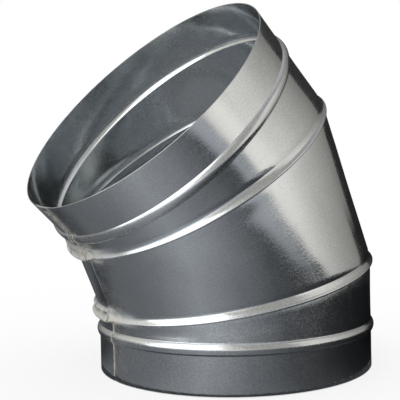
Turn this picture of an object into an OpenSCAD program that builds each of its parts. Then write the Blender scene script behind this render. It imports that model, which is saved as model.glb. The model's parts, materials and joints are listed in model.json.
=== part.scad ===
// Round duct elbow, 45 degrees, made of three gores of galvanised sheet.
// Two folded lock seams join the gores, and each end has a rolled stop bead.
// Origin: centre of the lower mouth. +Z runs up the lower collar, +X is the inside of the bend.

/* [Duct] */
// Nominal diameter of the duct that the collars slip into
duct_d = 200; // [125:5:300]
// Difference between the duct's diameter and the collar's
collar_play = 0.7; // [0.4:0.1:1.2]
// Thickness of the sheet
sheet = 0.6; // [0.5:0.05:0.7]

/* [Bend] */
// Angle between the two mouths
bend_angle = 45; // [30:1:54]
// Radius of the bend along the middle of the duct
bend_r = 220; // [205:1:320]
// Straight run from each rim to where the bend begins
end_run = 21; // [20:1:80]

/* [Stop bead] */
// From the rim to the crown of the bead
insert_len = 30; // [26:0.5:34]
// Width of the bead from foot to foot
bead_w = 8.5; // [7:0.5:10]
// Height of the bead above the collar
bead_h = 1.9; // [1.2:0.1:2.4]

/* [Lock seam] */
// Length over which the two folded edges grip each other
lock_w = 2.6; // [2.4:0.1:3.6]
// Clearance between the layers of the fold
fold_gap = 0.15; // [0.1:0.05:0.2]
// Length of the skirt that slopes from the seam's cover to the gore above
skirt_w = 2.8; // [2.8:0.1:4]
// Height of the two ridges rolled round the seam's cover
ridge_h = 0.25; // [0.1:0.05:0.3]
// How far the folding rolls set the fold's root in from the gore's wall
fold_step = 0.2; // [0.15:0.05:0.3]

/* [Lengthwise lap] */
// Width of the lap where each gore's sheet closes on itself
lap_w = 14; // [8:1:20]
// Where the laps lie, in degrees round the gore from the inside of the bend
lap_at = -16; // [-60:1:60]

/* [Hidden] */
$fn = 96;
// Colour of the zinc-coated sheet
zinc = [0.62, 0.64, 0.66];
// Largest turn of an arc between two of its points
arc_step = 15;

collar_r = (duct_d - collar_play) / 2;
mid_r = collar_r - sheet / 2;
// Each of the two joint planes halves the angle between the axes that meet in it
mitre = bend_angle / 4;
end_len = end_run + bend_r * tan(mitre);
gore_len = 2 * bend_r * tan(mitre);
// Reaches past a gore's joint plane, where the gore is cut back
past_joint = collar_r;

// The fold has four layers, and each turn in it goes round one layer in between.
layer = sheet + fold_gap;
fold_r = layer + sheet / 2;
// Middle of the innermost layer, which the rolls set in from the wall
root_r = mid_r - fold_step;
seam_half = (fold_r + lock_w + skirt_w) / 2 + fold_gap;

// Heights on an edge are from its joint plane, positive away from the edge's own gore.
hook_z = seam_half - skirt_w - fold_gap;
hem_z = lock_w - hook_z;

// A round gore cut by a tilted plane is an ellipse. Four arcs stand in for it, within 0.04 mm.
// Their centres lie off its middle, at the corners of triangles with sides of 20, 21 and 29 units,
// so that each arc runs into the next, and the ends then stand out by 12 units.
oval_unit = round(collar_r * (1 / cos(mitre) - 1) / 12 * 1000) / 1000;
// How far the oval's middle lies from the gore's own axis, seam_half short of the joint plane
seam_shift = seam_half * tan(mitre);

// The line of a bent sheet is a list of stations: a point, and the way to one side of the sheet
function station(x, z, side) = [[x, z], [side, 0]];
function arc(x, z, r, from, to, side = 1) =
    let (steps = ceil(abs(to - from) / arc_step))
    [for (i = [0:steps])
        let (a = from + (to - from) * i / steps, way = [cos(a), sin(a)])
        [[x, z] + r * way, side * way]];
function outline(line, thickness) = concat(
    [for (s = line) s[0] + s[1] * thickness / 2],
    [for (i = [len(line) - 1:-1:0]) line[i][0] - line[i][1] * thickness / 2]);

// Two equal arcs that run into each other move a sheet sideways by rise over a length of run
function s_turn(rise, run) = 2 * atan(rise / run);
function s_radius(rise, run) = run / (2 * sin(s_turn(rise, run)));

// A rounded rib that stands out by height: foot, crown and foot
function rib(r, z, width, height) =
    let (turn = s_turn(height, width / 2), bend = s_radius(height, width / 2))
    concat(
        arc(r + bend, z - width / 2, bend, 180, 180 - turn, -1),
        arc(r + height - bend, z, bend, -turn, turn),
        arc(r + bend, z + width / 2, bend, 180 + turn, 180, -1));

// From the rim over the stop bead and on past the joint plane
function end_line(r) = concat(
    [station(r, 0, 1)],
    rib(r, insert_len, bead_w, bead_h),
    [station(r, end_len + past_joint, 1)]);

// A middle gore runs straight past both its joint planes
function middle_line(r) = [station(r, -past_joint, 1), station(r, gore_len + past_joint, 1)];

// Upper edge of a gore: it turns out and back, as a hook for the gore above
function hook_line() = concat(
    [station(root_r, -seam_half, -1)],
    arc(root_r + layer, hook_z, layer, 180, 0),
    [station(root_r + 2 * layer, -hem_z, 1)]);

// Lower edge of a gore: the skirt out from its wall, the ridged cover, and the hem in the hook
function hem_line() =
    let (rise = 3 * layer, turn = s_turn(rise, skirt_w), bend = s_radius(rise, skirt_w))
    concat(
        arc(root_r + bend, -seam_half, bend, 180, 180 - turn, -1),
        arc(root_r + rise - bend, skirt_w - seam_half, bend, -turn, 0),
        rib(root_r + rise, hem_z - lock_w * 3 / 4, lock_w / 2, ridge_h),
        rib(root_r + rise, hem_z - lock_w / 4, lock_w / 2, ridge_h),
        arc(root_r + 2 * layer, hem_z, layer, 0, 180),
        [station(root_r + layer, -hook_z, -1)]);

// The rolled sheet of a gore, with a second layer inside where it laps itself round angle at
module rolled(line, lap_line, at) {
    lap_turn = lap_w / mid_r * 180 / PI;
    rotate_extrude() polygon(outline(line, sheet));
    // The second layer is swept towards the inside of the bend
    away = at < 0 ? -1 : 1;
    rotate([0, 0, at + away * lap_turn / 2])
        rotate_extrude(angle = -away * lap_turn) polygon(outline(lap_line, sheet));
}

// One arc of a folded edge, about a centre off the oval's middle, cut off along its two corners
module edge_arc(line, turn, centre, reach, corner) {
    past_edge = ceil(collar_r / 10);
    rotate([0, 0, turn]) translate([centre, 0, 0]) intersection() {
        rotate([0, 0, 180])
            rotate_extrude() translate([reach - centre, 0]) polygon(outline(line, sheet));
        translate([0, 0, -2 * seam_half])
            linear_extrude(4 * seam_half)
                polygon([[0, 0], past_edge * [corner.x, -corner.y], past_edge * corner]);
    }
}

module folded_edge(line) {
    translate([seam_shift, 0, 0]) {
        for (turn = [0, 180])
            edge_arc(line, turn, 21 * oval_unit, 12 * oval_unit, [21, 20]);
        for (turn = [90, 270])
            edge_arc(line, turn, -20 * oval_unit, 0, [20, 21]);
    }
}

// What is cut off beyond an edge, before its fold is set on
module beyond_edge() {
    reach = 2 * (end_len + gore_len + past_joint);
    translate([-reach / 2, -reach / 2, -seam_half]) cube(reach);
}

// Place an edge in its own gore's frame, with +Z out of the gore along the joint plane's normal
module at_far_edge(length) {
    translate([0, 0, length]) rotate([0, mitre, 0]) children();
}

module at_near_edge() {
    rotate([0, -mitre, 0]) rotate([180, 0, 0]) children();
}

// An end gore stands on its rim, with its axis up
module end_gore(edge_line, lap) {
    difference() {
        rolled(end_line(mid_r), end_line(mid_r - sheet), lap);
        at_far_edge(end_len) beyond_edge();
    }
    at_far_edge(end_len) folded_edge(edge_line);
}

module lower_gore() {
    color(zinc) end_gore(hook_line(), lap_at);
}

module middle_gore() {
    color(zinc)
        translate([0, 0, end_len]) rotate([0, 2 * mitre, 0]) {
            difference() {
                rolled(middle_line(mid_r), middle_line(mid_r - sheet), lap_at);
                at_near_edge() beyond_edge();
                at_far_edge(gore_len) beyond_edge();
            }
            at_near_edge() folded_edge(hem_line());
            at_far_edge(gore_len) folded_edge(hook_line());
        }
}

module upper_gore() {
    color(zinc)
        translate([0, 0, end_len]) rotate([0, 2 * mitre, 0])
            translate([0, 0, gore_len]) rotate([0, 2 * mitre, 0])
                translate([0, 0, end_len]) rotate([180, 0, 0]) end_gore(hem_line(), -lap_at);
}

lower_gore();
middle_gore();
upper_gore();
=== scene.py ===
import json
import math

import bpy
from mathutils import Matrix, Vector


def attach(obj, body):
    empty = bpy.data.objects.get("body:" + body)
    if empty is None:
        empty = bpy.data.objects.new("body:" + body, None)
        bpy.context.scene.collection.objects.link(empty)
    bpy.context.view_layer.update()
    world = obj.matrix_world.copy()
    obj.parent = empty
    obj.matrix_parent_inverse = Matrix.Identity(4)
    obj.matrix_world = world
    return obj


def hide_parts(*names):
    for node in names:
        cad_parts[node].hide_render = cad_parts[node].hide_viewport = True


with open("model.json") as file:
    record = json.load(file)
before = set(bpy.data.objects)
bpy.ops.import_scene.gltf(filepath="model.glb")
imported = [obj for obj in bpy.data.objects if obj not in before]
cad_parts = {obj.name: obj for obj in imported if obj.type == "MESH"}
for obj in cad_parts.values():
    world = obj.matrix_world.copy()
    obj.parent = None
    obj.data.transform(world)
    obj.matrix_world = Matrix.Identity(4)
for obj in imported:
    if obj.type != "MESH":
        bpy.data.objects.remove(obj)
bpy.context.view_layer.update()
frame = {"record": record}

MM = 0.001

# The elbow's own frame comes from its two spigots: the bend lies in the XZ plane.
spigots = {m["name"]: m for m in frame["record"]["mounts"]}
COLLAR_R = spigots["lower_spigot"]["dims"]["r_mm"] * MM
MOUTH = Vector(spigots["upper_spigot"]["pos_m"])
MOUTH_WAY = Vector(spigots["upper_spigot"]["axis"]).normalized()
BEND = math.acos(MOUTH_WAY.z)
MITRE = BEND / 4

# Sizes as in the part's source: the bend first
BEND_R = 220 * MM
END_RUN = 21 * MM
END_LEN = END_RUN + BEND_R * math.tan(MITRE)
GORE_LEN = 2 * BEND_R * math.tan(MITRE)

# Sheet and stop bead, which meets the wall in tight feet
SHEET = 0.6 * MM
MID_R = COLLAR_R - SHEET / 2
GIRTH = 2 * math.pi * MID_R
INSERT_LEN = 30 * MM
BEAD_W = 8.5 * MM
BEAD_H = 1.9 * MM
BEAD_FOOT = 0.8 * MM

# Lock seam: how far its folded edges grip each other, and how far it is set in from the wall
FOLD_GAP = 0.15 * MM
LAYER = SHEET + FOLD_GAP
GRIP = 0.2 * MM
FOLD_STEP = 0.2 * MM
# The cover flares out from the wall above as far as its sharp lower edge, where it turns under
FLARE = math.radians(45)
FLARE_R = LAYER * (2 + math.cos(FLARE)) / (1 - math.cos(FLARE))
SEAM_HALF = ((FLARE_R + LAYER) * math.sin(FLARE) + LAYER + SHEET / 2) / 2 + FOLD_GAP
HEM_Z = SEAM_HALF - FOLD_GAP - LAYER - SHEET / 2
HOOK_Z = GRIP - HEM_Z
# How far the upper seam's middle lies above its joint plane
SEAM_RAISED = 1.0 * MM

# Lengthwise lap: its free edge outside, how far the sheet passes under it, and the step at the edge
LAP_EDGE = math.radians(-4.5)
UPPER_LAP_EDGE = math.radians(-1)
LAP_W = 16.5 * MM
LAP_RAMP = 9 * MM
LAP_STEP = 0.45 * MM
FLUSH_STEP = 0.1 * MM

# Over the lap a fold has double layers and swells: how much, how far before the free edge this
# begins and is complete, and where it ends after that edge
SWELL_H = 3.0 * MM
SWELL_FROM = GIRTH - 75 * MM
SWELL_FULL = GIRTH - 38 * MM
SWELL_END = 4 * MM
# How far from a fold its marks reach on to the wall
FOLD_MARKS = 14 * MM

# Nuggets of the seam weld along the free edge, and the distance from row to row
NUGGET_PITCH = 1.5 * MM
NUGGET_W = 1.5 * MM
NUGGET_H = 0.8 * MM
WELD_ROW = 3.2 * MM

# Where nothing stiffens the sheet it lies a little hollow: how deep, how long the hollows are, and
# over what length a rim, bead or fold still holds it
SLACK_DEPTH = 0.3 * MM
SLACK_LENGTH = 55 * MM
STIFF_LENGTH = 12 * MM

# Fineness of the meshes, how far the sheet's cut edges are broken, and what shows as an edge
COLUMNS = 320
ARC_STEP = math.radians(9)
BURR = 0.08 * MM
SHARP = math.radians(32)


# Profiles of the sheet: stations of a point (out from the mid radius, along the axis) and a side

def arc(u, v, r, start, end, side=1):
    steps = max(1, math.ceil(abs(end - start) / ARC_STEP))
    angles = [start + (end - start) * i / steps for i in range(steps + 1)]
    return [(Vector((u + r * math.cos(a), v + r * math.sin(a))),
             side * Vector((math.cos(a), math.sin(a)))) for a in angles]


def straight(v_from, v_to, count):
    return [(Vector((0, v_from + (v_to - v_from) * i / count)), Vector((1, 0)))
            for i in range(count + 1)]


def bead(v, width, height, foot):
    """A round crown that meets the wall in a tight foot on either side."""
    turn = 2 * math.atan(2 * height / width)
    crown = width / (2 * math.sin(turn)) - foot
    return (arc(foot, v - width / 2, foot, math.pi, math.pi - turn, -1)
            + arc(height - crown, v, crown, -turn, turn)
            + arc(foot, v + width / 2, foot, math.pi + turn, math.pi, -1))


def set_in(line):
    """A fold stands a little inside the wall that it grows from."""
    return [(Vector((p.x - FOLD_STEP, p.y)), s) for p, s in line]


def hook(joint):
    """Out and back round the hem of the gore above."""
    return set_in(arc(LAYER, joint + HOOK_Z, LAYER, math.pi, 0, -1)
                  + [(Vector((2 * LAYER, joint - HEM_Z)), Vector((-1, 0)))])


def hem(joint):
    """The flared cover, and the turn that ends inside the hook."""
    return set_in([(Vector((0, joint - SEAM_HALF)), Vector((1, 0)))]
                  + arc(FLARE_R, joint + FOLD_GAP - SEAM_HALF, FLARE_R, math.pi, math.pi - FLARE, -1)
                  + arc(2 * LAYER, joint + HEM_Z, LAYER, -FLARE, math.pi)
                  + [(Vector((LAYER, joint - HOOK_Z)), Vector((-1, 0)))])


def collar(root):
    """From the rim over the stop bead to the root of the fold."""
    foot, far_foot = INSERT_LEN - BEAD_W / 2, INSERT_LEN + BEAD_W / 2
    return (straight(0, foot - MM, 6) + bead(INSERT_LEN, BEAD_W, BEAD_H, BEAD_FOOT)
            + straight(far_foot + MM, root - MM, 6))


def flipped(line):
    """The same line seen from its other end of the gore."""
    return [(Vector((p.x, -p.y)), Vector((s.x, -s.y))) for p, s in reversed(line)]


def without_repeats(line):
    kept = [line[0]]
    for station in line[1:]:
        if (station[0] - kept[-1][0]).length > 0.001 * MM:
            kept.append(station)
    return kept


def outline(line):
    """The closed section of the sheet round its line, with a broken edge at each end: points, whether
    they are on the sheet's outer face, and whether this face looks outward, so that a weld shows."""
    line = without_repeats(line)
    for end, other in ((0, 1), (-1, -2)):
        p, s = line[end]
        inward = (line[other][0] - p).normalized() * BURR
        line[end] = (p + inward, s)
        thin = (p, s * (1 - 2 * BURR / SHEET))
        line.insert(0 if end == 0 else len(line), thin)
    outside = [(p + s * SHEET / 2, 1.0, s.x > 0.3) for p, s in line]
    inside = [(p - s * SHEET / 2, 0.0, False) for p, s in reversed(line)]
    return outside + inside


def eased(t):
    t = max(0.0, min(1.0, t))
    return t * t * (3 - 2 * t)


def column_angles(weld_rows, lap_edge, lap_side):
    """Even columns round the gore, with close pairs where the lap's two edges step, and one on each
    further row of the weld and between rows."""
    edges = [lap_side * lap_edge, lap_side * (lap_edge - LAP_W / MID_R)]
    rows = [lap_side * (lap_edge - i * WELD_ROW / 2 / MID_R) for i in range(1, 2 * weld_rows - 1)]
    pitch = 2 * math.pi / COLUMNS
    close = pitch / 40
    angles = [a for a in ((i + 0.5) * pitch - math.pi for i in range(COLUMNS))
              if all(abs(a - e) > pitch / 4 for e in edges + rows)]
    for e in edges:
        angles += [e - close, e + close]
    return sorted(angles + rows), close


def rolled_sheet(name, line, wall, stiff, swells, welded, weld_rows=1, lap_edge=LAP_EDGE, lap_side=1):
    """A gore before its ends are mitred: the section carried round the axis. Given are the heights
    where the plain wall begins and ends, and those that are held stiff, the height that swells before
    the lap and how far its swelling reaches, and the heights between which the weld shows. Each point
    keeps its place on the sheet (round from the free edge, along, and out from the wall), and how
    much it has of each of these."""
    section = outline(line)
    angles, close = column_angles(weld_rows, lap_edge, lap_side)
    verts, places = [], []
    marks = {mark: [] for mark in ("outer", "wall", "slack", "weld", "fold", "swell")}
    for a in angles:
        round_by = (a * lap_side - lap_edge) % (2 * math.pi) * MID_R
        row = round((GIRTH - round_by) / WELD_ROW)
        in_row = row < weld_rows and abs(GIRTH - round_by - row * WELD_ROW) < 2 * close * MID_R
        for p, side, shows in section:
            r = MID_R + p.x
            verts.append((r * math.cos(a), r * math.sin(a), p.y))
            places += [round_by, p.y, p.x]
            plain = max(0.0, min(1.0, (p.y - wall[0]) / MM, (wall[1] - p.y) / MM))
            past_wall = max(wall[0] - p.y, p.y - wall[1])
            marks["outer"].append(side)
            marks["wall"].append(plain)
            marks["slack"].append(plain * eased(min(abs(p.y - v) for v in stiff) / STIFF_LENGTH))
            marks["weld"].append(float(in_row and shows and welded[0] < p.y < welded[1]))
            marks["fold"].append(eased(1 + past_wall / FOLD_MARKS))
            marks["swell"].append(max(1 - plain, eased(1 - abs(p.y - swells[0]) / swells[1])))
    count = len(section)
    faces = []
    for i in range(len(angles)):
        j = (i + 1) % len(angles)
        for k in range(count):
            m = (k + 1) % count
            faces.append((i * count + k, j * count + k, j * count + m, i * count + m))
    mesh = bpy.data.meshes.new(name)
    mesh.from_pydata(verts, [], faces)
    mesh.attributes.new("sheet", "FLOAT_VECTOR", "POINT").data.foreach_set("vector", places)
    for mark, numbers in marks.items():
        mesh.attributes.new(mark, "FLOAT", "POINT").data.foreach_set("value", numbers)
    return bpy.data.objects.new(name, mesh)


# Node trees

def add(tree, kind, inputs=None, **settings):
    """Adds a node with its settings, and links or sets its inputs by name or number."""
    node = tree.nodes.new(kind)
    for key, value in settings.items():
        setattr(node, key, value)
    for key, given in (inputs or {}).items():
        for value in given if isinstance(given, list) else [given]:
            if isinstance(value, bpy.types.NodeSocket):
                tree.links.new(value, node.inputs[key])
            else:
                node.inputs[key].default_value = value
    return node.outputs


def geometry_tree(name, sizes):
    """A modifier tree with one geometry in and out and a named number for each size."""
    tree = bpy.data.node_groups.new(name, "GeometryNodeTree")
    tree.interface.new_socket("Geometry", in_out="OUTPUT", socket_type="NodeSocketGeometry")
    tree.interface.new_socket("Geometry", in_out="INPUT", socket_type="NodeSocketGeometry")
    for size in sizes:
        tree.interface.new_socket(size, in_out="INPUT", socket_type="NodeSocketFloat")
    return tree, add(tree, "NodeGroupInput")


def lap_tree():
    """Sinks the sheet under its own free edge, doubles it inside, lets the open wall lie hollow, and
    swells the folds before the lap and over it."""
    tree, given = geometry_tree(
        "lengthwise lap",
        ("Lap From", "Ramp", "Step", "Sheet", "Swell Height", "Swell From", "Swell Full", "Swell End",
         "Slack Depth", "Slack Length"))
    sheet = add(tree, "GeometryNodeInputNamedAttribute", {"Name": "sheet"}, data_type="FLOAT_VECTOR")[0]
    outer, wall, slack, swell = (
        add(tree, "GeometryNodeInputNamedAttribute", {"Name": name}, data_type="FLOAT")[0]
        for name in ("outer", "wall", "slack", "swell"))
    round_by = add(tree, "ShaderNodeSeparateXYZ", {0: sheet})[0]
    sunk = add(tree, "ShaderNodeMapRange",
               {"Value": round_by, "From Max": given["Ramp"], "To Min": 1.0, "To Max": 0.0},
               interpolation_type="SMOOTHSTEP")["Result"]
    lapped = add(tree, "ShaderNodeMath", {0: round_by, 1: given["Lap From"]}, operation="GREATER_THAN")[0]
    doubled = add(tree, "ShaderNodeMath", {0: sunk, 1: lapped}, operation="MAXIMUM")[0]
    inside = add(tree, "ShaderNodeMath", {0: doubled, 1: given["Sheet"]}, operation="MULTIPLY")[0]
    outside = add(tree, "ShaderNodeMath", {0: sunk, 1: given["Step"]}, operation="MULTIPLY")[0]
    stepped = add(tree, "ShaderNodeMix", {0: outer, 2: inside, 3: outside})[0]
    # The hollows follow the upper part of a slow noise
    fineness = add(tree, "ShaderNodeMath", {0: 1.0, 1: given["Slack Length"]}, operation="DIVIDE")[0]
    uneven = add(tree, "ShaderNodeTexNoise", {"Vector": sheet, "Scale": fineness, "Detail": 1.0})[0]
    hollow = add(tree, "ShaderNodeMapRange",
                 {"Value": uneven, "From Min": 0.3, "From Max": 0.7,
                  "To Max": given["Slack Depth"]})["Result"]
    lies_in = add(tree, "ShaderNodeMath", {0: hollow, 1: slack}, operation="MULTIPLY")[0]
    inward = add(tree, "ShaderNodeMath", {0: stepped, 1: wall, 2: lies_in}, operation="MULTIPLY_ADD")[0]
    # A fold stands out further before the lap and over it, and drops soon after its free edge
    climbs = add(tree, "ShaderNodeMapRange",
                 {"Value": round_by, "From Min": given["Swell From"], "From Max": given["Swell Full"]},
                 interpolation_type="SMOOTHSTEP")["Result"]
    drops = add(tree, "ShaderNodeMapRange",
                {"Value": round_by, "From Max": given["Swell End"], "To Min": 0.6, "To Max": 0.0})["Result"]
    over_lap = add(tree, "ShaderNodeMath", {0: drops, 1: climbs}, operation="MAXIMUM")[0]
    proud = add(tree, "ShaderNodeMath", {0: swell, 1: given["Swell Height"]}, operation="MULTIPLY")[0]
    swollen = add(tree, "ShaderNodeMath", {0: proud, 1: over_lap}, operation="MULTIPLY")[0]
    net = add(tree, "ShaderNodeMath", {0: swollen, 1: inward}, operation="SUBTRACT")[0]
    position = add(tree, "GeometryNodeInputPosition")[0]
    flat = add(tree, "ShaderNodeVectorMath", {0: position, 1: (1, 1, 0)}, operation="MULTIPLY")[0]
    outward = add(tree, "ShaderNodeVectorMath", {0: flat}, operation="NORMALIZE")[0]
    offset = add(tree, "ShaderNodeVectorMath", {0: outward, "Scale": net}, operation="SCALE")[0]
    moved = add(tree, "GeometryNodeSetPosition", {"Geometry": given["Geometry"], "Offset": offset})[0]
    kept = add(tree, "GeometryNodeStoreNamedAttribute",
               {"Geometry": moved, "Name": "outward", "Value": outward},
               data_type="FLOAT_VECTOR", domain="POINT")["Geometry"]
    add(tree, "NodeGroupOutput", {0: kept})
    return tree


def mitre_tree():
    """Stretches the wall to the tilted joint plane and stands the fold square on that plane."""
    tree, given = geometry_tree(
        "mitred end", ("End", "Joint", "Stretch From", "Wall Radius", "Mitre", "Seam Half"))
    position = add(tree, "GeometryNodeInputPosition")[0]
    facing = add(tree, "ShaderNodeCombineXYZ", {0: 1.0, 1: 1.0, 2: given["End"]})[0]
    here = add(tree, "ShaderNodeVectorMath", {0: position, 1: facing}, operation="MULTIPLY")[0]
    x, y, z = add(tree, "ShaderNodeSeparateXYZ", {0: here})
    flat = add(tree, "ShaderNodeVectorMath", {0: here, 1: (1, 1, 0)}, operation="MULTIPLY")[0]
    radius = add(tree, "ShaderNodeVectorMath", {0: flat}, operation="LENGTH")["Value"]
    unit = add(tree, "ShaderNodeVectorMath", {0: flat}, operation="NORMALIZE")[0]
    cos_m, sin_m, tan_m = (add(tree, "ShaderNodeMath", {0: given["Mitre"]}, operation=operation)[0]
                           for operation in ("COSINE", "SINE", "TANGENT"))
    root = add(tree, "ShaderNodeMath", {0: given["Joint"], 1: given["Seam Half"]}, operation="SUBTRACT")[0]
    set_back = add(tree, "ShaderNodeMath", {0: given["Seam Half"], 1: cos_m}, operation="DIVIDE")[0]
    centre = add(tree, "ShaderNodeMath", {0: given["Joint"], 1: set_back}, operation="SUBTRACT")[0]
    # The wall below the fold's root is stretched or shortened along the axis
    share = add(tree, "ShaderNodeMapRange",
                {"Value": z, "From Min": given["Stretch From"], "From Max": root})["Result"]
    slope = add(tree, "ShaderNodeMath", {0: x, 1: tan_m}, operation="MULTIPLY")[0]
    cut = add(tree, "ShaderNodeMath", {0: centre, 1: slope}, operation="SUBTRACT")[0]
    stretch = add(tree, "ShaderNodeMath", {0: cut, 1: root}, operation="SUBTRACT")[0]
    wall_z = add(tree, "ShaderNodeMath", {0: share, 1: stretch, 2: z}, operation="MULTIPLY_ADD")[0]
    wall = add(tree, "ShaderNodeCombineXYZ", {0: x, 1: y, 2: wall_z})[0]
    # The fold keeps its section, square to the oval where the wall meets the joint plane
    rim = add(tree, "ShaderNodeVectorMath", {0: unit, "Scale": given["Wall Radius"]}, operation="SCALE")[0]
    rim_x, rim_y, _ = add(tree, "ShaderNodeSeparateXYZ", {0: rim})
    rim_slope = add(tree, "ShaderNodeMath", {0: rim_x, 1: tan_m}, operation="MULTIPLY")[0]
    rim_z = add(tree, "ShaderNodeMath", {0: centre, 1: rim_slope}, operation="SUBTRACT")[0]
    on_oval = add(tree, "ShaderNodeCombineXYZ", {0: rim_x, 1: rim_y, 2: rim_z})[0]
    across = add(tree, "ShaderNodeMath", {0: 1.0, 1: cos_m}, operation="DIVIDE")[0]
    fall = add(tree, "ShaderNodeMath", {0: sin_m, 1: -1.0}, operation="MULTIPLY")[0]
    unit_x, unit_y, _ = add(tree, "ShaderNodeSeparateXYZ", {0: unit})
    spread = add(tree, "ShaderNodeCombineXYZ", {0: cos_m, 1: across, 2: fall})[0]
    on_unit = add(tree, "ShaderNodeCombineXYZ", {0: unit_x, 1: unit_y, 2: unit_x})[0]
    leaning = add(tree, "ShaderNodeVectorMath", {0: on_unit, 1: spread}, operation="MULTIPLY")[0]
    outward = add(tree, "ShaderNodeVectorMath", {0: leaning}, operation="NORMALIZE")[0]
    normal = add(tree, "ShaderNodeCombineXYZ", {0: sin_m, 1: 0.0, 2: cos_m})[0]
    out_by = add(tree, "ShaderNodeMath", {0: radius, 1: given["Wall Radius"]}, operation="SUBTRACT")[0]
    past_by = add(tree, "ShaderNodeMath", {0: z, 1: root}, operation="SUBTRACT")[0]
    out = add(tree, "ShaderNodeVectorMath", {0: outward, "Scale": out_by}, operation="SCALE")[0]
    past = add(tree, "ShaderNodeVectorMath", {0: normal, "Scale": past_by}, operation="SCALE")[0]
    moved_out = add(tree, "ShaderNodeVectorMath", {0: on_oval, 1: out}, operation="ADD")[0]
    fold = add(tree, "ShaderNodeVectorMath", {0: moved_out, 1: past}, operation="ADD")[0]
    in_fold = add(tree, "ShaderNodeMath", {0: past_by, 1: 0.01 * MM}, operation="GREATER_THAN")[0]
    chosen = add(tree, "GeometryNodeSwitch", {"Switch": in_fold, "False": wall, "True": fold},
                 input_type="VECTOR")[0]
    there = add(tree, "ShaderNodeVectorMath", {0: chosen, 1: facing}, operation="MULTIPLY")[0]
    moved = add(tree, "GeometryNodeSetPosition", {"Geometry": given["Geometry"], "Position": there})[0]
    add(tree, "NodeGroupOutput", {0: moved})
    return tree


def weld_tree(material):
    """Sets rows of uneven weld nuggets on the lap, and gives the gore its material."""
    tree, given = geometry_tree("seam weld", ("Pitch", "Width", "Height"))
    outward = add(tree, "GeometryNodeInputNamedAttribute", {"Name": "outward"}, data_type="FLOAT_VECTOR")[0]
    weld = add(tree, "GeometryNodeInputNamedAttribute", {"Name": "weld"}, data_type="FLOAT")[0]
    chosen = add(tree, "ShaderNodeMath", {0: weld, 1: 0.5}, operation="GREATER_THAN")[0]
    rows = add(tree, "GeometryNodeMeshToCurve", {"Mesh": given["Geometry"], "Selection": chosen})[0]
    spaced = add(tree, "GeometryNodeResampleCurve", {"Curve": rows, "Length": given["Pitch"]},
                 mode="LENGTH")[0]
    ball = add(tree, "GeometryNodeMeshIcoSphere", {"Radius": 0.5, "Subdivisions": 2})["Mesh"]
    marked = add(tree, "GeometryNodeStoreNamedAttribute",
                 {"Geometry": ball, "Name": "nugget", "Value": 1.0},
                 data_type="FLOAT", domain="POINT")["Geometry"]
    turned = add(tree, "FunctionNodeAlignRotationToVector", {"Vector": outward}, axis="Z")[0]
    size = add(tree, "ShaderNodeCombineXYZ", {0: given["Width"], 1: given["Width"], 2: given["Height"]})[0]
    uneven = add(tree, "FunctionNodeRandomValue",
                 {"Min": (0.6, 0.6, 0.4), "Max": (1.25, 1.25, 1.1), "Seed": 7},
                 data_type="FLOAT_VECTOR")[0]
    scale = add(tree, "ShaderNodeVectorMath", {0: size, 1: uneven}, operation="MULTIPLY")[0]
    nuggets = add(tree, "GeometryNodeInstanceOnPoints",
                  {"Points": spaced, "Instance": marked, "Rotation": turned, "Scale": scale})[0]
    joined = add(tree, "GeometryNodeJoinGeometry", {0: [given["Geometry"], nuggets]})[0]
    real = add(tree, "GeometryNodeRealizeInstances", {0: joined})[0]
    done = add(tree, "GeometryNodeSetMaterial", {"Geometry": real, "Material": material})[0]
    add(tree, "NodeGroupOutput", {0: done})
    return tree


def dress(obj, tree, **sizes):
    """Gives a piece a node modifier, with its inputs set by their sockets' identifiers."""
    modifier = obj.modifiers.new(tree.name, "NODES")
    modifier.node_group = tree
    for socket in tree.interface.items_tree:
        key = socket.name.lower().replace(" ", "_")
        if socket.in_out == "INPUT" and key in sizes:
            modifier[socket.identifier] = float(sizes[key])


def finished(obj, place):
    """Turns a piece and its modifiers into a plain mesh that lies in the elbow's frame."""
    bpy.context.scene.collection.objects.link(obj)
    seen = obj.evaluated_get(bpy.context.evaluated_depsgraph_get())
    mesh = bpy.data.meshes.new_from_object(seen)
    obj.modifiers.clear()
    obj.data = mesh
    mesh.transform(place)
    mesh.shade_smooth()
    mesh.set_sharp_from_angle(angle=SHARP)
    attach(obj, "root")
    return obj


# Materials

def linear(hex_colour):
    """An sRGB hex colour as the linear colour that shaders take."""
    parts = [int(hex_colour[i:i + 2], 16) / 255 for i in (1, 3, 5)]
    return tuple(c / 12.92 if c <= 0.04045 else ((c + 0.055) / 1.055) ** 2.4 for c in parts) + (1.0,)


def new_material(name):
    material = bpy.data.materials.new(name)
    material.use_nodes = True
    material.node_tree.nodes.clear()
    return material, material.node_tree


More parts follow.
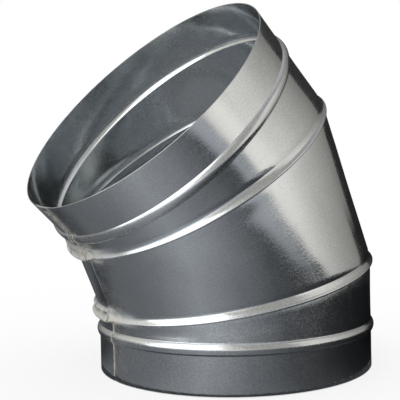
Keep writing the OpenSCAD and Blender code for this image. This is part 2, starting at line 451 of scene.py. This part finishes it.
def seaming_marks(tree, sheet, cloud):
    """What the weld and the rollers that closed the folds left on the zinc: how far it is scorched to
    a pale dull oxide, hazed beside the lap, and smeared."""
    round_by = add(tree, "ShaderNodeSeparateXYZ", {0: sheet})[0]
    from_edge = add(tree, "ShaderNodeMath", {0: round_by, 1: GIRTH / 2}, operation="PINGPONG")[0]
    fold, swell, nugget = (add(tree, "ShaderNodeAttribute", attribute_name=name)["Fac"]
                           for name in ("fold", "swell", "nugget"))
    # Scorched in blotches on the folds beside the weld, and where they swell before the lap
    near = add(tree, "ShaderNodeMapRange",
               {"Value": from_edge, "From Min": 2 * MM, "From Max": 18 * MM, "To Min": 1.0, "To Max": 0.0},
               interpolation_type="SMOOTHSTEP")["Result"]
    near_fold = add(tree, "ShaderNodeMath", {0: near, 1: fold}, operation="MULTIPLY")[0]
    before = add(tree, "ShaderNodeMapRange",
                 {"Value": round_by, "From Min": SWELL_FROM, "From Max": SWELL_FULL})["Result"]
    swollen = add(tree, "ShaderNodeMath", {0: before, 1: swell}, operation="MULTIPLY")[0]
    reach = add(tree, "ShaderNodeMath", {0: near_fold, 1: swollen}, operation="MAXIMUM")[0]
    blotch = add(tree, "ShaderNodeTexNoise",
                 {"Vector": sheet, "Scale": 1 / (7 * MM), "Detail": 3.0, "Roughness": 0.65})[0]
    blotched = add(tree, "ShaderNodeMapRange",
                   {"Value": blotch, "From Min": 0.4, "From Max": 0.64})["Result"]
    burnt = add(tree, "ShaderNodeMath", {0: reach, 1: blotched}, operation="MULTIPLY")[0]
    # Hazed in clouds on the side of the sheet that passes under the free edge, most of all by the folds
    beside = add(tree, "ShaderNodeMapRange",
                 {"Value": round_by, "From Min": 8 * MM, "From Max": 34 * MM, "To Min": 1.0, "To Max": 0.0},
                 interpolation_type="SMOOTHSTEP")["Result"]
    patchy = add(tree, "ShaderNodeMapRange", {"Value": cloud, "From Min": 0.4, "From Max": 0.56})["Result"]
    by_fold = add(tree, "ShaderNodeMapRange", {"Value": fold, "To Min": 0.35, "To Max": 1.0})["Result"]
    hazy = add(tree, "ShaderNodeMath", {0: beside, 1: patchy}, operation="MULTIPLY")[0]
    haze = add(tree, "ShaderNodeMath", {0: hazy, 1: by_fold}, operation="MULTIPLY")[0]
    # The haze is faintly scorched, and the nuggets are through and through
    faint = add(tree, "ShaderNodeMath", {0: haze, 1: 0.3, 2: burnt}, operation="MULTIPLY_ADD")[0]
    scorched = add(tree, "ShaderNodeMath", {0: faint, 1: nugget}, operation="MAXIMUM")[0]
    # Smeared where the rollers closed the folds over the lap
    by_lap = add(tree, "ShaderNodeMapRange",
                 {"Value": from_edge, "From Min": 14 * MM, "From Max": 40 * MM,
                  "To Min": 1.0, "To Max": 0.0},
                 interpolation_type="SMOOTHSTEP")["Result"]
    closed = add(tree, "ShaderNodeMath", {0: by_lap, 1: fold}, operation="MULTIPLY")[0]
    smeared = add(tree, "ShaderNodeMath", {0: closed, 1: swollen}, operation="MAXIMUM")[0]
    return scorched, haze, smeared


def galvanised_steel():
    """Hot-dip galvanised sheet, skin-passed: bluish satin zinc, finely grained, clouded where the rolls
    pressed unevenly, rubbed along the way it was rolled up, and scorched dull beside its weld."""
    material, tree = new_material("galvanised steel")
    sheet = add(tree, "ShaderNodeAttribute", attribute_name="sheet")["Vector"]
    # The zinc's small crystals are half a millimetre across, and are drawn twice as coarse
    grain = add(tree, "ShaderNodeTexNoise",
                {"Vector": sheet, "Scale": 1 / (1.1 * MM), "Detail": 1.0, "Roughness": 0.6})[0]
    crystal = add(tree, "ShaderNodeMapRange",
                  {"Value": grain, "From Min": 0.36, "From Max": 0.64, "To Max": 0.3})["Result"]
    cloud = add(tree, "ShaderNodeTexNoise",
                {"Vector": sheet, "Scale": 1 / (28 * MM), "Detail": 4.0, "Roughness": 0.7})[0]
    pressed = add(tree, "ShaderNodeMapRange",
                  {"Value": cloud, "From Min": 0.35, "From Max": 0.65, "To Max": 0.15})["Result"]
    bright = add(tree, "ShaderNodeMath", {0: crystal, 1: pressed}, operation="ADD")[0]
    scorched, haze, smeared = seaming_marks(tree, sheet, cloud)

    # Inside it is clean and bright, and outside it is dulled by handling
    clean, dulled = (
        add(tree, "ShaderNodeMix", {0: bright, 6: linear(low), 7: linear(high)}, data_type="RGBA")[2]
        for low, high in (("#DCE1E3", "#FFFFFF"), ("#D2D7DA", "#F6F8F8")))
    outer = add(tree, "ShaderNodeAttribute", attribute_name="outer")["Fac"]
    handled = add(tree, "ShaderNodeMix", {0: outer, 6: clean, 7: dulled}, data_type="RGBA")[2]
    colour = add(tree, "ShaderNodeMix", {0: scorched, 6: handled, 7: linear("#D6D1C5")}, data_type="RGBA")[2]
    # Where it is scorched, less of the metal shows
    metallic = add(tree, "ShaderNodeMapRange", {"Value": scorched, "To Min": 1.0, "To Max": 0.25})["Result"]

    # Some crystals lie duller than others, and catch light from further round
    dull = add(tree, "ShaderNodeMapRange", {"Value": grain, "From Min": 0.36, "From Max": 0.66})["Result"]
    # The rollers have scuffed what they formed: the beads and the covers of the seams
    out = add(tree, "ShaderNodeSeparateXYZ", {0: sheet})[2]
    formed = add(tree, "ShaderNodeMapRange",
                 {"Value": out, "From Min": 0.5 * MM, "From Max": 1.5 * MM})["Result"]
    # Rubs run round the gore: drawn 60 mm long and 0.7 mm wide
    drawn = add(tree, "ShaderNodeMapping",
                {"Vector": sheet, "Scale": (1 / (60 * MM), 1 / (0.7 * MM), 0)})[0]
    rub = add(tree, "ShaderNodeTexNoise", {"Vector": drawn, "Scale": 1.0, "Detail": 2.0})[0]
    rubbed = add(tree, "ShaderNodeMapRange", {"Value": rub, "From Min": 0.6, "From Max": 0.75})["Result"]
    rough = add(tree, "ShaderNodeMapRange",
                {"Value": cloud, "From Min": 0.3, "From Max": 0.7, "To Min": 0.06, "To Max": 0.12})["Result"]
    for mark, roughened in ((dull, 0.09), (formed, 0.08), (rubbed, 0.07), (scorched, 0.3), (haze, 0.2),
                            (smeared, 0.35)):
        rough = add(tree, "ShaderNodeMath", {0: mark, 1: roughened, 2: rough}, operation="MULTIPLY_ADD")[0]
    bump = add(tree, "ShaderNodeBump", {"Height": grain, "Strength": 1.0, "Distance": 0.014 * MM})[0]
    shader = add(tree, "ShaderNodeBsdfPrincipled",
                 {"Base Color": colour, "Metallic": metallic, "Roughness": rough, "Normal": bump})[0]
    add(tree, "ShaderNodeOutputMaterial", {0: shader})
    return material


# The elbow

lap = lap_tree()
mitred = mitre_tree()
weld = weld_tree(galvanised_steel())


def gore(name, line, joints, place, step=LAP_STEP, **marks):
    """A dressed gore. Each of its joints is given by its end of the gore (1 or -1), its height, and the
    height from which the wall is stretched to it. Its marks are as rolled_sheet takes them."""
    obj = rolled_sheet(name, line, **marks)
    dress(obj, lap, lap_from=GIRTH - LAP_W, ramp=LAP_RAMP, step=step, sheet=SHEET,
          swell_height=SWELL_H, swell_from=SWELL_FROM, swell_full=SWELL_FULL, swell_end=SWELL_END,
          slack_depth=SLACK_DEPTH, slack_length=SLACK_LENGTH)
    for end, joint, stretch_from in joints:
        dress(obj, mitred, end=end, joint=joint, stretch_from=stretch_from,
              wall_radius=MID_R, mitre=MITRE, seam_half=SEAM_HALF)
    dress(obj, weld, pitch=NUGGET_PITCH, width=NUGGET_W, height=NUGGET_H)
    return finished(obj, place)


# An end gore has no fold at its rim, and its wall is stretched from beyond the bead
AT_RIM = -math.inf
bead_end = INSERT_LEN + BEAD_W / 2 + MM
to_joint = Matrix.Translation((0, 0, END_LEN)) @ Matrix.Rotation(2 * MITRE, 4, "Y")
to_mouth = Matrix.Translation(MOUTH) @ Matrix.Rotation(BEND, 4, "Y") @ Matrix.Rotation(math.pi, 4, "X")

low_joint = END_LEN
low_root = low_joint - SEAM_HALF
lower = gore("lower_gore_sheet", collar(low_root) + hook(low_joint),
             [(1, low_joint, bead_end)], Matrix.Identity(4),
             wall=(AT_RIM, low_root), stiff=(0, INSERT_LEN, low_root),
             swells=(low_root, MM), welded=(MM, low_root))
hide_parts("lower_gore")

# The weld doesn't show on the middle gore's wall, only on the cover of its hem
far_joint = GORE_LEN + SEAM_RAISED
middle_ends = (SEAM_HALF, far_joint - SEAM_HALF)
middle_line = (flipped(hem(0)) + straight(middle_ends[0] + MM, middle_ends[1] - MM, 24)
               + hook(far_joint))
middle = gore("middle_gore_sheet", middle_line,
              [(1, far_joint, GORE_LEN / 2), (-1, 0, -GORE_LEN / 2)], to_joint, step=FLUSH_STEP,
              wall=middle_ends, stiff=middle_ends,
              swells=(middle_ends[0], 6 * MM), welded=(-HEM_Z, HEM_Z))
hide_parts("middle_gore")

# On the upper gore the swelling reaches the bead. It stands on its mouth, so its lap is the other way.
top_joint = END_LEN - SEAM_RAISED
top_root = top_joint - SEAM_HALF
upper = gore("upper_gore_sheet", collar(top_root) + hem(top_joint),
             [(1, top_joint, bead_end)], to_mouth,
             wall=(AT_RIM, top_root), stiff=(0, INSERT_LEN, top_root),
             swells=(top_root, 26 * MM), welded=(MM, top_joint + HEM_Z),
             weld_rows=3, lap_edge=UPPER_LAP_EDGE, lap_side=-1)
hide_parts("upper_gore")


# Studio: a pale floor, soft light from all round, and papers that only the metal mirrors

# The camera was fitted to the outlines of the mouths, walls, beads and seams.
CAMERA_TURN = math.radians(143.94)
CAMERA_TILT = math.radians(2.10)
CAMERA_ROLL = math.radians(-1.36)
CAMERA_FAR = 6.05 * COLLAR_R
CAMERA_SIDE = -0.266 * COLLAR_R
CAMERA_UP = 1.204 * COLLAR_R
FOCAL_PX = 806.1
PICTURE_PX = 400
SENSOR = 36

TOWARDS = Vector((math.sin(CAMERA_TURN), -math.cos(CAMERA_TURN), 0))
RIGHT = Vector((math.cos(CAMERA_TURN), math.sin(CAMERA_TURN), 0))

# Papers lie just over the floor, and hang round a room of this radius.
ON_FLOOR = 0.5 * MM
ROOM_R = 0.85


def camera():
    back = TOWARDS * math.cos(CAMERA_TILT) + Vector((0, 0, math.sin(CAMERA_TILT)))
    up = back.cross(RIGHT)
    right = math.cos(CAMERA_ROLL) * RIGHT + math.sin(CAMERA_ROLL) * up
    up = -math.sin(CAMERA_ROLL) * RIGHT + math.cos(CAMERA_ROLL) * up
    data = bpy.data.cameras.new("camera")
    data.sensor_width = SENSOR
    data.lens = SENSOR * (FOCAL_PX / PICTURE_PX)
    data.clip_start, data.clip_end = 0.01, 100
    obj = bpy.data.objects.new("camera", data)
    turn = Matrix((right, up, back)).transposed().to_4x4()
    place = back * CAMERA_FAR + right * CAMERA_SIDE + up * CAMERA_UP
    obj.matrix_world = Matrix.Translation(place) @ turn
    bpy.context.scene.collection.objects.link(obj)
    bpy.context.scene.camera = obj


def stage_mesh(name, verts, faces, material):
    mesh = bpy.data.meshes.new(name)
    mesh.from_pydata([tuple(v) for v in verts], [], faces)
    mesh.materials.append(material)
    obj = bpy.data.objects.new(name, mesh)
    bpy.context.scene.collection.objects.link(obj)
    return obj


def floor():
    """White floor: it shows its own white to the eye and in metal, and takes a soft shadow."""
    material, tree = new_material("floor paint")
    path = add(tree, "ShaderNodeLightPath")
    mirrored = add(tree, "ShaderNodeMath", {0: path["Is Glossy Ray"], 1: path["Is Transmission Ray"]},
                   operation="MAXIMUM")[0]
    seen = add(tree, "ShaderNodeMath", {0: path["Is Camera Ray"], 1: mirrored}, operation="MAXIMUM")[0]
    # The paint's own 0.3 and this 0.7 make white
    white = add(tree, "ShaderNodeMath", {0: seen, 1: 0.7}, operation="MULTIPLY")[0]
    matt = add(tree, "ShaderNodeBsdfDiffuse", {"Color": (0.3, 0.3, 0.3, 1)})[0]
    glow = add(tree, "ShaderNodeEmission", {"Color": (1, 1, 1, 1), "Strength": white})[0]
    add(tree, "ShaderNodeOutputMaterial", {0: add(tree, "ShaderNodeAddShader", {0: matt, 1: glow})[0]})
    reach = 30
    stage_mesh("floor", [(-reach, -reach, 0), (reach, -reach, 0), (reach, reach, 0), (-reach, reach, 0)],
               [(0, 1, 2, 3)], material)


def paper(name, tint, stops, rings):
    """Paper set round the elbow, that only the metal mirrors. Stops are degrees to the right of the view,
    and the paper's tones. Rings are its distance, its height, and which of those tones they have, where
    0.5 is halfway from the first to the second."""
    turns = []
    for here, there in zip(stops, stops[1:]):
        steps = math.ceil((there[0] - here[0]) / 5)
        turns += [tuple(a + (b - a) * i / steps for a, b in zip(here, there)) for i in range(steps)]
    turns.append(stops[-1])
    verts, tones = [], []
    for turn, *given in turns:
        way = -TOWARDS * math.cos(math.radians(turn)) + RIGHT * math.sin(math.radians(turn))
        for far, high, share in rings:
            verts.append(way * far + Vector((0, 0, high)))
            k = min(int(share), len(given) - 2)
            tones.append(given[k] + (given[k + 1] - given[k]) * (share - k))
    n = len(rings)
    faces = [(i * n + k, i * n + k + 1, i * n + n + k + 1, i * n + n + k)
             for i in range(len(turns) - 1) for k in range(n - 1)]
    material, tree = new_material(name)
    strength = add(tree, "ShaderNodeAttribute", attribute_name="tone")["Fac"]
    glow = add(tree, "ShaderNodeEmission", {"Color": linear(tint), "Strength": strength})[0]
    add(tree, "ShaderNodeOutputMaterial", {0: glow})
    obj = stage_mesh(name, verts, faces, material)
    obj.data.attributes.new("tone", "FLOAT", "POINT").data.foreach_set("value", tones)
    obj.visible_camera = obj.visible_diffuse = obj.visible_shadow = False


def studio():
    world = bpy.data.worlds.new("studio")
    bpy.context.scene.world = world
    world.use_nodes = True
    world.node_tree.nodes["Background"].inputs["Color"].default_value = (1, 1, 1, 1)
    world.node_tree.nodes["Background"].inputs["Strength"].default_value = 1.0
    floor()
    # Paper on the floor: painted shadow of the elbow makes it dark by the elbow's foot and inside the duct,
    # brighter further off before it, black behind it and to its right, and pale again far off to its right
    # Painted shadow, seen only in the metal: a dark disc for the shaded floor inside the duct, and a darker
    # ring where the elbow stands
    paper("painted shadow at foot", "#F4F8FF", [(-180, 0.18, 0.05), (180, 0.18, 0.05)],
          [(0.001, ON_FLOOR, 0), (0.096, ON_FLOOR, 0), (0.101, ON_FLOOR, 1), (0.106, ON_FLOOR, 1)])
    # The first two tones of each stop, nearest the elbow, are painted shadow of the elbow, seen only in the
    # metal; further off the paper takes its last tone
    paper("painted shadow and floor tones", "#F4F8FF",
          [(-222, 0.05, 0.07, 0.5), (-210, 0.07, 0.1, 0.5), (-198, 0.12, 0.17, 0.55),
           (-186, 0.17, 0.26, 0.9), (-174, 0.26, 0.35, 1.2), (-162, 0.33, 0.44, 1.4),
           (-150, 0.26, 0.41, 1.3), (-138, 0.19, 0.33, 1.1), (-126, 0.17, 0.24, 0.7),
           (-114, 0.16, 0.18, 0.4), (-102, 0.15, 0.15, 0.24), (-90, 0.09, 0.11, 0.18),
           (-78, 0.045, 0.08, 0.18), (-66, 0.04, 0.08, 0.25), (-54, 0.08, 0.12, 0.3),
           (-42, 0.1, 0.11, 0.2), (-30, 0.06, 0.07, 0.14), (-20, 0.02, 0.02, 0.02),
           (-12, 0.01, 0.01, 0.01), (56, 0.003, 0.008, 0.02), (64, 0.003, 0.01, 0.02),
           (78, 0.005, 0.012, 0.03), (90, 0.008, 0.015, 0.04), (102, 0.01, 0.02, 0.06),
           (114, 0.016, 0.03, 0.14), (126, 0.03, 0.05, 0.36), (138, 0.05, 0.07, 0.5)],
          [(0.106, ON_FLOOR, 0), (0.2, ON_FLOOR, 0.2), (0.27, ON_FLOOR, 0.9), (0.42, ON_FLOOR, 1),
           (0.49, ON_FLOOR, 1.85), (ROOM_R, ON_FLOOR, 2)])
    paper("pale floor", "#FFFBF3",
          [(84, 0.01, 0.3), (96, 0.015, 0.62), (108, 0.025, 0.85), (120, 0.2, 0.98), (132, 0.45, 0.9),
           (140, 0.42, 0.42)],
          [(0.69, 2 * ON_FLOOR, 0), (0.75, 2 * ON_FLOOR, 1), (ROOM_R, 2 * ON_FLOOR, 1)])
    # Walls: black cloth behind to the right, then paler and paler round to a window before the elbow
    paper("black cloth", "#FFFFFF", [(-12, 0.01, 0.04), (49, 0.01, 0.04)], [(0.82, 0, 0), (0.82, 0.62, 1)])
    paper("walls", "#FFFBF3",
          [(49, 0.02, 0.24), (57, 0.03, 0.27), (60, 0.27, 0.29), (66, 0.3, 0.34), (78, 0.39, 0.44),
           (90, 0.51, 0.55), (102, 0.7, 0.72), (114, 0.93, 0.82), (126, 1.02, 0.78), (132, 0.9, 0.62),
           (138, 0.42, 0.42), (150, 0.42, 0.42), (168, 0.45, 0.42), (176, 0.75, 0.5), (186, 1.0, 0.62),
           (198, 1.3, 0.65), (210, 1.3, 0.8), (234, 1.3, 1.1), (246, 0.9, 0.9), (258, 0.35, 0.85),
           (270, 0.3, 0.75), (282, 0.3, 0.65), (294, 0.42, 0.55), (306, 0.35, 0.42), (318, 0.3, 0.4),
           (330, 0.18, 0.25), (342, 0.1, 0.3), (350, 0.05, 0.3), (409, 0.05, 0.24)],
          [(ROOM_R, 0, 0), (ROOM_R, 0.12, 0), (ROOM_R, 0.18, 1), (ROOM_R, 1.0, 1)])
    paper("window", "#FFFFFF", [(192, 1.9, 0.7), (204, 2.0, 1.6), (246, 2.0, 1.6), (252, 1.2, 1.3)],
          [(0.83, 0.05, 0), (0.83, 0.55, 0.2), (0.83, 1.0, 1), (0.4, 1.12, 1)])
    paper("ceiling", "#FFFFFF",
          [(0, 0.28, 0.7), (130, 0.28, 0.7), (170, 0.42, 0.7), (290, 0.42, 0.7), (360, 0.28, 0.7)],
          [(ROOM_R, 1.0, 0), (0.01, 1.3, 1)])


camera()
studio()
bpy.context.scene.view_settings.view_transform = "Standard"
